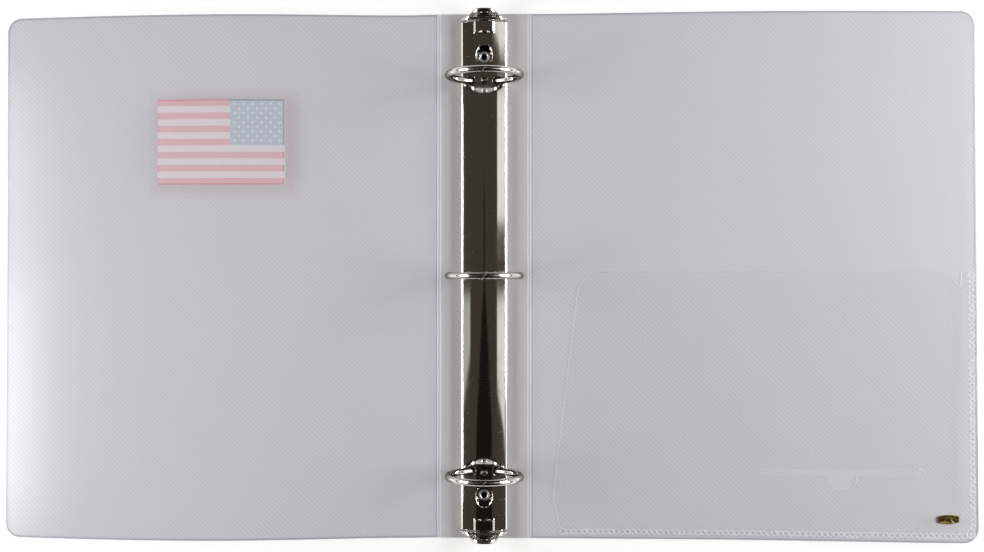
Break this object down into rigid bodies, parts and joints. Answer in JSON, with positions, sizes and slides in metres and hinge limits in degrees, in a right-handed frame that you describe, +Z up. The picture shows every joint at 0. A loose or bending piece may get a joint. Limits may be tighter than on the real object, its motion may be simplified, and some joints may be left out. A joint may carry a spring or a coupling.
{
  "type": "stamp album binder",
  "caption": "Translucent plastic album binder, open flat: folding covers, a lever-opened ring metal on the spine and a welded pocket in the back cover.",
  "frame": {"origin": "on the table, under the middle of the spine: the middle of the open album's footprint", "axes": "+X from the front cover to the back cover, +Y up the page, +Z up from the table"},
  "size_m": [0.5402, 0.2948, 0.0467],
  "materials": {
    "frosted_plastic": "frosted translucent polypropylene sheet with fine diagonal lines",
    "clear_film": "thin clear polypropylene film, heat welded",
    "emblem_print": "striped print on a thin plastic plate",
    "gold_foil": "plain satin gold foil",
    "nickel_plate": "bright nickel-plated steel",
    "spring_steel": "plain zinc-plated steel strip"
  },
  "bodies": {
    "spine_set": {"spine_panel": "frosted_plastic", "front_hinge_web": "frosted_plastic", "back_hinge_web": "frosted_plastic", "ring_housing": "nickel_plate", "top_rivet": "nickel_plate", "bottom_rivet": "nickel_plate"},
    "front_cover_set": {"front_cover": "frosted_plastic", "flag_emblem": "emblem_print"},
    "back_cover_set": {"back_cover": "frosted_plastic", "pocket_sheet": "clear_film", "pocket_bottom_weld": "clear_film", "pocket_side_weld": "clear_film", "foil_label": "gold_foil"},
    "left_ring_set": {"left_hinge_plate": "spring_steel", "top_ring_left_half": "nickel_plate", "middle_ring_left_half": "nickel_plate", "bottom_ring_left_half": "nickel_plate"},
    "right_ring_set": {"right_hinge_plate": "spring_steel", "top_ring_right_half": "nickel_plate", "middle_ring_right_half": "nickel_plate", "bottom_ring_right_half": "nickel_plate"},
    "top_lever_set": {"top_lever": "nickel_plate"},
    "bottom_lever_set": {"bottom_lever": "nickel_plate"}
  },
  "joints": [
    {"name": "front_cover_fold", "type": "hinge", "parent": "spine_set", "child": "front_cover_set", "pos_m": [-0.0251, 0, 0.0012], "axis": [0, 1, 0], "range_deg": [0, 84], "deforming": ["front_hinge_web"]},
    {"name": "back_cover_fold", "type": "hinge", "parent": "spine_set", "child": "back_cover_set", "pos_m": [0.0251, 0, 0.0012], "axis": [0, -1, 0], "range_deg": [0, 84], "deforming": ["back_hinge_web"]},
    {"name": "left_rings_open", "type": "hinge", "parent": "spine_set", "child": "left_ring_set", "pos_m": [-0.0117, 0, 0.0048], "axis": [0, -1, 0], "range_deg": [0, 12]},
    {"name": "right_rings_open", "type": "hinge", "parent": "spine_set", "child": "right_ring_set", "pos_m": [0.0117, 0, 0.0048], "axis": [0, 1, 0], "range_deg": [0, 12]},
    {"name": "top_lever_press", "type": "hinge", "parent": "spine_set", "child": "top_lever_set", "pos_m": [0, 0.1375, 0.0062], "axis": [-1, 0, 0], "range_deg": [0, 15]},
    {"name": "bottom_lever_press", "type": "hinge", "parent": "spine_set", "child": "bottom_lever_set", "pos_m": [0, -0.1375, 0.0062], "axis": [1, 0, 0], "range_deg": [0, 15]}
  ],
  "couplings": [
    {"joint": "right_rings_open", "follows": "left_rings_open", "ratio": 1},
    {"joint": "top_lever_press", "follows": "left_rings_open", "ratio": 1.25},
    {"joint": "bottom_lever_press", "follows": "left_rings_open", "ratio": 1.25}
  ]
}
